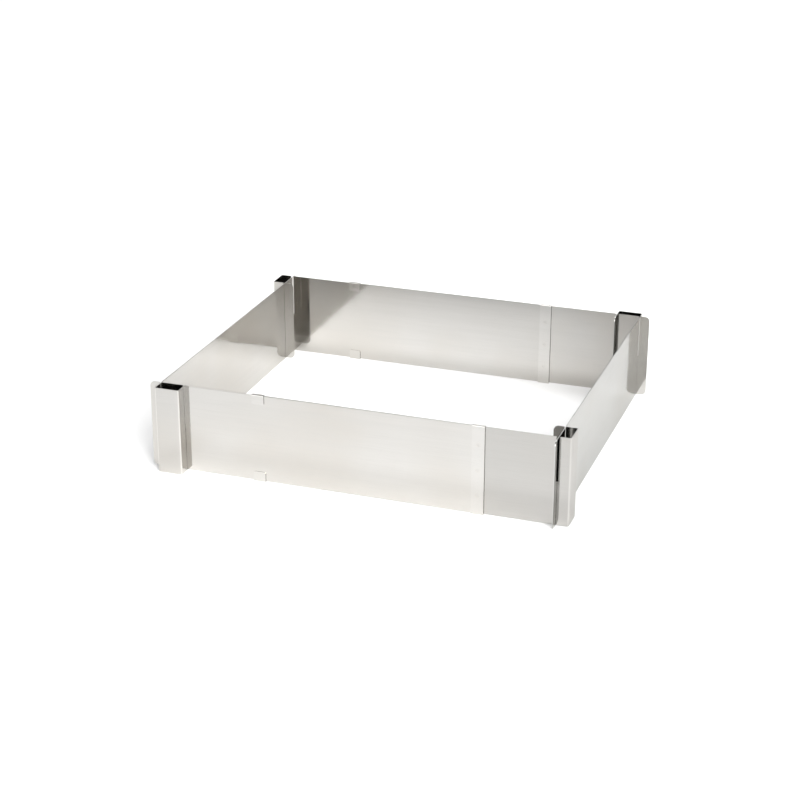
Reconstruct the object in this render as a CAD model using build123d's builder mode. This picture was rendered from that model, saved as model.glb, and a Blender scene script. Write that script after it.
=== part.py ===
from build123d import *
import os

# An adjustable cake frame: a bottomless rectangle of thin stainless sheets standing on edge.
# The front and the back are each two sheets that slide past each other, so the frame grows
# in length. The two side walls drop over the front and the back in half-height slots.
# X runs along the adjustable length, Y from front to back, Z up. The origin is the middle of
# the base, and the whole frame looks the same after half a turn about Z.

# Overall sizes
frame_length = 404.0  # between the middles of the two side walls, as photographed
frame_depth = 343.0  # between the front pair's sliding plane and the back pair's
wall_height = 90.0
sheet = 0.8

# The sliding sheets
outer_reach = 334.0  # from the side wall that an outer sheet crosses to its free end
inner_reach = 306.0  # the same for an inner sheet
slide_gap = 0.15  # between surfaces that slide past each other

# The hooks folded at the corners, and the tabs that end every sheet
hook_out = 12.5  # how far a hook stands out of the frame
hook_run = 25.0  # how far it runs along the wall beside it
tab_length = 11.0  # what is left past the last crossing
tab_radius = 5.0
bend_radius = 0.8  # inside a fold

# The half-height slots where sheets cross, with the same gap on both sides of the sheet
close_gap = 0.3  # where a side wall's hook crosses an outer sheet, and in folded-back ends
loose_gap = 1.2  # where an inner sheet first crosses a side wall
seat_gap = 0.3  # between the closed ends of two crossing slots, where a side wall comes to rest

# The clips welded at the free ends
clip_width = 12.5
clip_sheet = 0.8
clip_hook = 9.0  # how far a clip folds back over the far face
clip_bend = 0.3  # inside its folds, and so its gap to the edges that it wraps
clip_corner = 1.5
weld_radius = 1.5
weld_depth = 0.2
weld_height_shares = (0.21, 0.5, 0.79)

overrun = 1.0  # how far a cut runs past what it cuts
half_turn = (0, 0, 180)

# Levels: the clips and the side walls stand on the base, the sliding sheets in the clips
panel_bottom = clip_sheet + clip_bend
panel_top = panel_bottom + wall_height
crossing_level = (panel_bottom + wall_height) / 2
panel_slot_end = crossing_level - seat_gap / 2
wall_slot_end = crossing_level + seat_gap / 2

# Planes through the middle of each sheet's thickness
side_x = frame_length / 2
slide_y = frame_depth / 2
half_stack = (sheet + slide_gap) / 2
outer_y = slide_y + half_stack
inner_y = slide_y - half_stack
fold_radius = bend_radius + sheet / 2

# Free ends of the two front sheets
outer_free_end = -side_x + outer_reach
inner_free_end = side_x - inner_reach


def slot_outline(plane, gap, places, closed_end, open_end):
    """Square-ended slots for sheets that cross the plane at these places."""
    with BuildSketch(plane) as outline:
        with Locations([(place, (closed_end + open_end) / 2) for place in places]):
            Rectangle(sheet + 2 * gap, abs(open_end - closed_end))
    return outline.sketch


def clip_section(start_x, strip_side):
    """A clip seen along X: a strip on one face of the pair, hooked over both edges."""
    strip_y = -slide_y + strip_side * (half_stack + sheet / 2 + clip_sheet / 2)
    hook_y = -slide_y - strip_side * (half_stack + sheet / 2 + slide_gap + clip_sheet / 2)
    low_fold = clip_sheet / 2
    high_fold = panel_top + clip_bend + clip_sheet / 2
    with BuildSketch(Plane.YZ.offset(start_x)) as section:
        with BuildLine():
            FilletPolyline(
                (hook_y, panel_bottom + clip_hook),
                (hook_y, low_fold),
                (strip_y, low_fold),
                (strip_y, high_fold),
                (hook_y, high_fold),
                (hook_y, panel_top - clip_hook),
                radius=clip_bend + clip_sheet / 2,
            )
        trace(line_width=clip_sheet)
    return section.sketch


def weld_marks(start_x, strip_side):
    """The shallow round dents that the welding tips leave on a clip's strip."""
    strip_face = slide_y - strip_side * (half_stack + sheet / 2 + clip_sheet)
    middle = start_x + clip_width / 2
    heights = [panel_bottom + share * wall_height for share in weld_height_shares]
    with BuildSketch(Plane.XZ.offset(strip_face)) as marks:
        with Locations([(middle, height) for height in heights]):
            Circle(weld_radius)
    return marks.sketch


# Front outer sheet: flat, from the rounded tab at its left to its free end
with BuildPart() as front_outer_panel:
    outer_left = -side_x - tab_length
    with BuildSketch(Plane.XZ.offset(outer_y - sheet / 2)):
        with Locations(((outer_left + outer_free_end) / 2, panel_bottom + wall_height / 2)):
            Rectangle(outer_free_end - outer_left, wall_height)
    extrude(amount=sheet)
    fillet(edges().filter_by(Axis.Y).group_by(Axis.X)[0], tab_radius)
    hook_places = (-side_x, -side_x + hook_run)
    extrude(
        slot_outline(Plane.XZ, close_gap, hook_places, panel_slot_end, panel_top + overrun),
        amount=frame_depth,
        mode=Mode.SUBTRACT,
    )

# Front inner sheet: from its free end at the left to the hook round the right side wall
with BuildPart() as front_inner_panel:
    return_y = -inner_y + hook_run
    with BuildSketch(Plane.XY.offset(panel_bottom)):
        with BuildLine():
            FilletPolyline(
                (inner_free_end, -inner_y),
                (side_x + hook_out, -inner_y),
                (side_x + hook_out, return_y),
                (side_x - tab_length, return_y),
                radius=fold_radius,
            )
        trace(line_width=sheet)
    extrude(amount=wall_height)
    fillet(edges().filter_by(Axis.Y).group_by(Axis.X)[1], tab_radius)
    mid_hook = Plane.XZ.offset(inner_y - hook_run / 2)
    for gap, towards in ((loose_gap, 1), (close_gap, -1)):
        extrude(
            slot_outline(mid_hook, gap, (side_x,), panel_slot_end, panel_top + overrun),
            amount=towards * hook_run,
            mode=Mode.SUBTRACT,
        )

# Left side wall: from the rounded tab at its back to the hook round the front outer sheet
with BuildPart() as left_side_wall:
    base_y = -outer_y - hook_out
    return_x = -side_x + hook_run
    with BuildSketch(Plane.XY):
        with BuildLine():
            FilletPolyline(
                (-side_x, inner_y + tab_length),
                (-side_x, base_y),
                (return_x, base_y),
                (return_x, -outer_y + tab_length),
                radius=fold_radius,
            )
        trace(line_width=sheet)
    extrude(amount=wall_height)
    tab_ends = edges().filter_by(Axis.X).group_by(Axis.Y)[-2:]
    fillet(tab_ends[0] + tab_ends[1], tab_radius)
    extrude(
        slot_outline(Plane.YZ, close_gap, (-outer_y,), wall_slot_end, -overrun),
        amount=-frame_length,
        mode=Mode.SUBTRACT,
    )
    for gap, place in ((loose_gap, inner_y), (close_gap, inner_y - hook_run)):
        extrude(
            slot_outline(Plane.YZ, gap, (place,), wall_slot_end, -overrun),
            amount=-frame_length,
            mode=Mode.SUBTRACT,
        )

# Clip on the outer sheet's free end: its strip shows outside, its hooks inside
with BuildPart() as front_outer_clip:
    outer_clip_x = outer_free_end - clip_width
    extrude(clip_section(outer_clip_x, -1), amount=clip_width)
    hook_ends = edges().filter_by(Axis.Y).group_by(Axis.Z)[2:-2]
    fillet(hook_ends[0] + hook_ends[-1], clip_corner)
    extrude(weld_marks(outer_clip_x, -1), amount=-weld_depth, mode=Mode.SUBTRACT)

# Clip on the inner sheet's free end: its strip shows inside, its hooks outside
with BuildPart() as front_inner_clip:
    extrude(clip_section(inner_free_end, 1), amount=clip_width)
    hook_ends = edges().filter_by(Axis.Y).group_by(Axis.Z)[2:-2]
    fillet(hook_ends[0] + hook_ends[-1], clip_corner)
    extrude(weld_marks(inner_free_end, 1), amount=weld_depth, mode=Mode.SUBTRACT)

# The other half of the frame is the same five pieces, turned half a turn about Z
with BuildPart() as back_outer_panel:
    add(front_outer_panel.part, rotation=half_turn)

with BuildPart() as back_inner_panel:
    add(front_inner_panel.part, rotation=half_turn)

with BuildPart() as right_side_wall:
    add(left_side_wall.part, rotation=half_turn)

with BuildPart() as back_outer_clip:
    add(front_outer_clip.part, rotation=half_turn)

with BuildPart() as back_inner_clip:
    add(front_inner_clip.part, rotation=half_turn)

pieces = {
    "front_outer_panel": front_outer_panel,
    "front_inner_panel": front_inner_panel,
    "left_side_wall": left_side_wall,
    "front_outer_clip": front_outer_clip,
    "front_inner_clip": front_inner_clip,
    "back_outer_panel": back_outer_panel,
    "back_inner_panel": back_inner_panel,
    "right_side_wall": right_side_wall,
    "back_outer_clip": back_outer_clip,
    "back_inner_clip": back_inner_clip,
}
os.makedirs("parts", exist_ok=True)
for name, piece in pieces.items():
    piece.part.label = name
    export_step(piece.part, f"parts/{name}.step")
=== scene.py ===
import math

import bpy
from mathutils import Matrix, Vector


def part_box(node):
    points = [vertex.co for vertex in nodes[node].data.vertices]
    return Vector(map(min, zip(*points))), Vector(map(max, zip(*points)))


# The looks of an adjustable cake frame: a ring of thin bright stainless sheets that stand on
# edge on a pale floor, seen from the front right and above. Metres throughout.

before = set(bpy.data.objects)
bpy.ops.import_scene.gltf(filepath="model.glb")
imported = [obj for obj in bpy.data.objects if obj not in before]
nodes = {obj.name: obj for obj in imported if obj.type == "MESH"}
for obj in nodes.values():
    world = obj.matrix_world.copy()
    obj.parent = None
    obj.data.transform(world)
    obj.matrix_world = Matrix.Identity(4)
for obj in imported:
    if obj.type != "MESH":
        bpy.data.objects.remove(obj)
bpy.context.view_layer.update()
clip_names = [name for name in nodes if name.endswith("_clip")]

# The photograph's camera, with its angles in radians
IMAGE_PIXELS = 800
FOCAL_PIXELS = 1882.2
SENSOR_WIDTH = 36.0
CAMERA_PLACE = Vector((0.5848, -1.7178, 0.7870))
CAMERA_HEADING = -0.3343
CAMERA_PITCH = -0.3940
CAMERA_ROLL = 0.0025

# The studio: a dark room with soft panels overhead, softboxes around, and soft glows low on the
# walls, at the front right and the front. Angles are degrees from the back (+Y) towards the
# right, and degrees up.
FLOOR_SIZE = 40.0
FLOOR_COLOUR = (0.9, 0.9, 0.9, 1)
FLOOR_ROUGHNESS = 0.9
FLOOR_SPECULAR = 0.1
PANELS = {  # place of each panel, which points straight down, its size and power in watts
    "back_panel": ((0, 0.5, 1.0), 0.4, 5.9),
    "right_panel": ((0.5, 0, 1.0), 0.4, 0.5),
    "far_panel": ((-0.8, 2.4, 1.8), 1.6, 9.0),  # keeps the far floor as pale as the near floor
}
SOFTBOX_SIZE = 0.65
SOFTBOX_AWAY = 1.7
SOFTBOXES = {  # towards, and power in watts
    "front_softbox": ((150, 45), 6.8),
    "left_softbox": ((300, 45), 2.4),
    "back_softbox": ((60, 32), 2.2),
}
GLOWS = (  # towards, sharpness, strength
    ((135, 12), 20, 13.8),
    ((135, 15), 6, 4.4),
    ((180, 15), 6, 4.4),
)
BACKDROP_LEVEL = 0.95  # the pale backdrop that only the camera sees, past the floor

# Patterns of the rolled sheet: the size of one feature along X, Y and Z, then the noise's
# detail and roughness
GRAIN = ((0.06, 0.06, 0.0005), 3.0, 0.6)
BANDS = ((0.25, 0.25, 0.006), 2.0, 0.5)
SMUDGES = ((0.045, 0.045, 0.045), 4.0, 0.6)
CLOUDS = ((0.12, 0.12, 0.12), 2.0, 0.5)
WAVES = ((0.11, 0.11, 0.11), 1.0, 0.4)
WAVE_HEIGHT = 0.0003
GRAIN_HEIGHT = 0.000004

# Where each pattern starts to show and where it shows fully, of the noise's 0 to 1
CLOUD_SPAN = (0.35, 0.65)
BAND_SPAN = (0.6, 0.3)
GRAIN_SPAN = (0.45, 0.75)
SMUDGE_SPAN = (0.4, 0.7)
GROOVE_SPAN = (0.3, 0.7)

# Colours of the steel: tones are per channel, levels are shares of the sheet's own colour
SHEET_COLOUR = (0.54, 0.529, 0.508)
SHEET_PAINTED_SHADES = {  # painted shade: each sheet a lighter or darker copy of one steel, as a share of that colour per channel
    "front_outer_panel": (1.03, 1.03, 1.03),
    "front_inner_panel": (0.83, 0.83, 0.83),
    "back_outer_panel": (0.97, 0.97, 0.97),
    "back_inner_panel": (0.975, 0.975, 0.975),
    "left_side_wall": (1.0, 1.0, 1.0),
    "right_side_wall": (0.905, 0.93, 0.95),
}
CLIP_COLOUR = (0.58, 0.57, 0.55)
GRAZING_TINT = (0.72, 0.713, 0.7, 1)
WARM_TONE = (0.985, 0.97, 0.95)
COOL_TONE = (1.02, 1.022, 1.025)
COOL_LEVEL = 1.01
BAND_LEVEL, BAND_SHARE = 0.96, 0.3
GRAIN_LEVEL, GRAIN_SHARE = 0.92, 0.6
FOLD_HIGHLIGHT_LEVEL = 1.25  # painted highlight: each fold is coloured brighter than the sheet

# Roughness of the steel, and the least and most that its patterns add
SHEET_ROUGHNESS = 0.085
CLIP_ROUGHNESS = 0.13
SMUDGE_ROUGHNESS = (-0.015, 0.04)
GRAIN_ROUGHNESS = (-0.015, 0.03)
EDGE_ROUGHNESS = 0.28  # added on a sheared edge

# Where a face counts as a sheared edge or a fold, which gets a painted highlight, by its normal,
# from not at all to fully
EDGE_STEEPNESS = (0.7, 1.0)
FOLD_TURN = (0.1, 0.4)

# Spot welds on the clips: heights are shares of the sheet's own height
WELD_HEIGHT_SHARES = (0.21, 0.5, 0.79)
WELD_RADIUS = 0.0015
DENT_RIM = (0.7, 1.1)  # from inside the dent to outside it, as shares of its radius
DENT_LEVEL = 0.95
DENT_ROUGHNESS = 0.06
HALO_RADIUS = 0.0032
HALO_SHARE = 0.12
HALO_COLOUR = (0.50, 0.44, 0.36, 1)


def make_camera():
    data = bpy.data.cameras.new("camera")
    data.sensor_width = SENSOR_WIDTH
    data.lens = FOCAL_PIXELS / IMAGE_PIXELS * SENSOR_WIDTH
    camera = bpy.data.objects.new("camera", data)
    bpy.context.scene.collection.objects.link(camera)
    level = math.cos(CAMERA_PITCH)
    forward = Vector((
        math.sin(CAMERA_HEADING) * level,
        math.cos(CAMERA_HEADING) * level,
        math.sin(CAMERA_PITCH),
    ))
    right = Vector((math.cos(CAMERA_HEADING), -math.sin(CAMERA_HEADING), 0))
    up = right.cross(forward)
    tilted_right = math.cos(CAMERA_ROLL) * right + math.sin(CAMERA_ROLL) * up
    tilted_up = math.cos(CAMERA_ROLL) * up - math.sin(CAMERA_ROLL) * right
    turn = Matrix((tilted_right, tilted_up, -forward)).transposed()
    camera.matrix_world = Matrix.Translation(CAMERA_PLACE) @ turn.to_4x4()
    bpy.context.scene.camera = camera


def make_floor():
    bpy.ops.mesh.primitive_plane_add(size=FLOOR_SIZE, location=(0, 0, 0))
    floor = bpy.context.object
    floor.name = "floor"
    material = bpy.data.materials.new("pale_floor")
    material.use_nodes = True
    surface = material.node_tree.nodes["Principled BSDF"]
    surface.inputs["Base Color"].default_value = FLOOR_COLOUR
    surface.inputs["Roughness"].default_value = FLOOR_ROUGHNESS
    surface.inputs["Specular IOR Level"].default_value = FLOOR_SPECULAR
    floor.data.materials.append(material)


def direction(azimuth, elevation):
    turn, lift = math.radians(azimuth), math.radians(elevation)
    level = math.cos(lift)
    return Vector((math.sin(turn) * level, math.cos(turn) * level, math.sin(lift)))


def make_light(name, place, aim, size, power):
    """A square panel of light that the camera doesn't see."""
    data = bpy.data.lights.new(name, "AREA")
    data.size = size
    data.energy = power
    light = bpy.data.objects.new(name, data)
    bpy.context.scene.collection.objects.link(light)
    light.location = place
    light.rotation_mode = "QUATERNION"
    light.rotation_quaternion = Vector(aim).to_track_quat("-Z", "Y")
    light.visible_camera = False


def make_lights():
    for name, (place, size, power) in PANELS.items():
        make_light(name, place, (0, 0, -1), size, power)
    for name, (angles, power) in SOFTBOXES.items():
        towards = direction(*angles)
        make_light(name, SOFTBOX_AWAY * towards, -towards, SOFTBOX_SIZE, power)


class Nodes:
    """Short ways to add shader nodes to one tree."""

    def __init__(self, tree):
        self.tree = tree

    def feed(self, socket, value):
        """Links another socket to this one, or sets it to a number, a vector or a colour."""
        if isinstance(value, bpy.types.NodeSocket):
            self.tree.links.new(value, socket)
        else:
            socket.default_value = value

    def add(self, kind, inputs=(), **settings):
        """A node with these settings, and these inputs by their name or number."""
        node = self.tree.nodes.new("ShaderNode" + kind)
        for name, value in settings.items():
            setattr(node, name, value)
        for key, value in dict(inputs).items():
            self.feed(node.inputs[key], value)
        return node

    def calc(self, operation, first, second=0.0):
        return self.add("Math", {0: first, 1: second}, operation=operation).outputs[0]

    def vector(self, operation, first, second):
        """A vector from two, or their dot product or distance."""
        node = self.add("VectorMath", {0: first, 1: second}, operation=operation)
        scalar = operation in ("DOT_PRODUCT", "DISTANCE")
        return node.outputs["Value" if scalar else "Vector"]

    def ramp(self, value, low, high, to_low=0.0, to_high=1.0):
        """Eases value from low to high into to_low to to_high."""
        inputs = {"Value": value, 1: low, 2: high, 3: to_low, 4: to_high}
        return self.add("MapRange", inputs, interpolation_type="SMOOTHSTEP").outputs[0]

    def blend(self, share, first, second):
        """A colour between two."""
        node = self.add("Mix", data_type="RGBA")
        sockets = {socket.identifier: socket for socket in node.inputs}
        for name, value in (("Factor_Float", share), ("A_Color", first), ("B_Color", second)):
            self.feed(sockets[name], value)
        return next(socket for socket in node.outputs if socket.identifier == "Result_Color")

    def noise(self, place, sizes, detail, roughness):
        """Noise whose features have these sizes along X, Y and Z."""
        scaled = self.vector("DIVIDE", place, sizes)
        inputs = {"Vector": scaled, "Scale": 1.0, "Detail": detail, "Roughness": roughness}
        return self.add("TexNoise", inputs).outputs[0]

    def bump(self, height, distance, **inputs):
        inputs = {"Height": height, "Distance": distance, "Strength": 1.0, **inputs}
        return self.add("Bump", inputs).outputs[0]


def make_world():
    world = bpy.data.worlds.new("studio")
    world.use_nodes = True
    kit = Nodes(world.node_tree)
    towards = kit.add("TexCoord").outputs["Generated"]
    total = 0.0
    for angles, sharpness, strength in GLOWS:
        facing = kit.vector("DOT_PRODUCT", towards, direction(*angles))
        glow = kit.calc("POWER", kit.calc("MAXIMUM", facing), sharpness)
        total = kit.calc("ADD", total, kit.calc("MULTIPLY", glow, strength))
    seen = kit.add("LightPath").outputs["Is Camera Ray"]
    total = kit.calc("MAXIMUM", total, kit.calc("MULTIPLY", seen, BACKDROP_LEVEL))
    background = world.node_tree.nodes["Background"]
    kit.feed(background.inputs["Color"], (1, 1, 1, 1))
    kit.feed(background.inputs["Strength"], total)
    bpy.context.scene.world = world


def tinted(colour, level, tone=(1, 1, 1)):
    """A colour at this level of brightness, with each channel scaled by the tone."""
    return tuple(level * channel * share for channel, share in zip(colour, tone)) + (1,)


def rolled_steel(name, colour, roughness):
    """Bright rolled stainless: grain, bands, clouds, smudges, painted highlights on the folds and
    rough edges.
    """
    material = bpy.data.materials.new(name)
    material.use_nodes = True
    kit = Nodes(material.node_tree)
    sockets = material.node_tree.nodes["Principled BSDF"].inputs
    place = kit.add("TexCoord").outputs["Object"]
    patterns = (GRAIN, BANDS, SMUDGES, CLOUDS, WAVES)
    grain, bands, smudges, clouds, waves = (kit.noise(place, *pattern) for pattern in patterns)

    normal = kit.add("NewGeometry").outputs["Normal"]
    facing = kit.add("SeparateXYZ", {0: normal}).outputs
    edge = kit.ramp(kit.calc("ABSOLUTE", facing["Z"]), *EDGE_STEEPNESS)
    turning = kit.calc("ABSOLUTE", kit.calc("MULTIPLY", facing["X"], facing["Y"]))
    # a painted highlight along each fold, where the normal turns between X and Y
    fold_highlight = kit.ramp(turning, *FOLD_TURN)

    warm, cool = tinted(colour, 1, WARM_TONE), tinted(colour, COOL_LEVEL, COOL_TONE)
    shade = kit.blend(kit.ramp(clouds, *CLOUD_SPAN), warm, cool)
    for share, level in (
        (kit.ramp(bands, *BAND_SPAN, 0, BAND_SHARE), BAND_LEVEL),
        (kit.ramp(grain, *GRAIN_SPAN, 0, GRAIN_SHARE), GRAIN_LEVEL),
        (edge, 1),  # a sheared edge shows no pattern
        (fold_highlight, FOLD_HIGHLIGHT_LEVEL),
    ):
        shade = kit.blend(share, shade, tinted(colour, level))
    kit.feed(sockets["Base Color"], shade)

    least, most = SMUDGE_ROUGHNESS
    rough = kit.ramp(smudges, *SMUDGE_SPAN, roughness + least, roughness + most)
    grooves = kit.ramp(grain, *GROOVE_SPAN, *GRAIN_ROUGHNESS)
    rough = kit.calc("ADD", rough, grooves)
    rough = kit.calc("ADD", rough, kit.calc("MULTIPLY", edge, EDGE_ROUGHNESS))
    kit.feed(sockets["Roughness"], rough)

    swell = kit.bump(waves, WAVE_HEIGHT)
    kit.feed(sockets["Normal"], kit.bump(grain, GRAIN_HEIGHT, Normal=swell))
    sockets["Metallic"].default_value = 1.0
    sockets["Specular Tint"].default_value = GRAZING_TINT
    return material


def welded_steel(name, colour, roughness):
    """The clips' steel: the same sheet, with a duller dent and a faint halo at each spot weld."""
    material = rolled_steel(name, colour, roughness)
    kit = Nodes(material.node_tree)
    sockets = material.node_tree.nodes["Principled BSDF"].inputs
    panel_low, panel_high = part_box("front_outer_panel")
    clip_low, clip_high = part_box("front_outer_clip")
    size = clip_high - clip_low
    size.y = 0  # the distance from a weld is measured along the strip's face only
    place = kit.vector("MULTIPLY", kit.add("TexCoord").outputs["Generated"], size)
    nearest = None
    for share in WELD_HEIGHT_SHARES:
        height = panel_low.z + share * (panel_high.z - panel_low.z) - clip_low.z
        away = kit.vector("DISTANCE", place, (size.x / 2, 0, height))
        nearest = away if nearest is None else kit.calc("MINIMUM", nearest, away)
    halo = kit.ramp(nearest, WELD_RADIUS, HALO_RADIUS, HALO_SHARE, 0)
    inside, outside = (WELD_RADIUS * share for share in DENT_RIM)
    dent = kit.ramp(nearest, inside, outside, 1, 0)

    shade = sockets["Base Color"].links[0].from_socket
    shade = kit.blend(halo, shade, HALO_COLOUR)
    kit.feed(sockets["Base Color"], kit.blend(dent, shade, tinted(colour, DENT_LEVEL)))
    rough = sockets["Roughness"].links[0].from_socket
    dull = kit.calc("MULTIPLY", dent, DENT_ROUGHNESS)
    kit.feed(sockets["Roughness"], kit.calc("ADD", rough, dull))
    return material


def dress(names, material):
    for name in names:
        nodes[name].data.materials.clear()
        nodes[name].data.materials.append(material)


make_camera()
make_floor()
make_world()
make_lights()
bpy.context.scene.view_settings.view_transform = "Standard"

# Each sheet gets its own copy of the steel, made lighter or darker: painted shade
for name, shade in SHEET_PAINTED_SHADES.items():
    colour = tinted(SHEET_COLOUR, 1, shade)
    dress([name], rolled_steel(name + "_steel", colour, SHEET_ROUGHNESS))
dress(clip_names, welded_steel("clip_steel", CLIP_COLOUR, CLIP_ROUGHNESS))
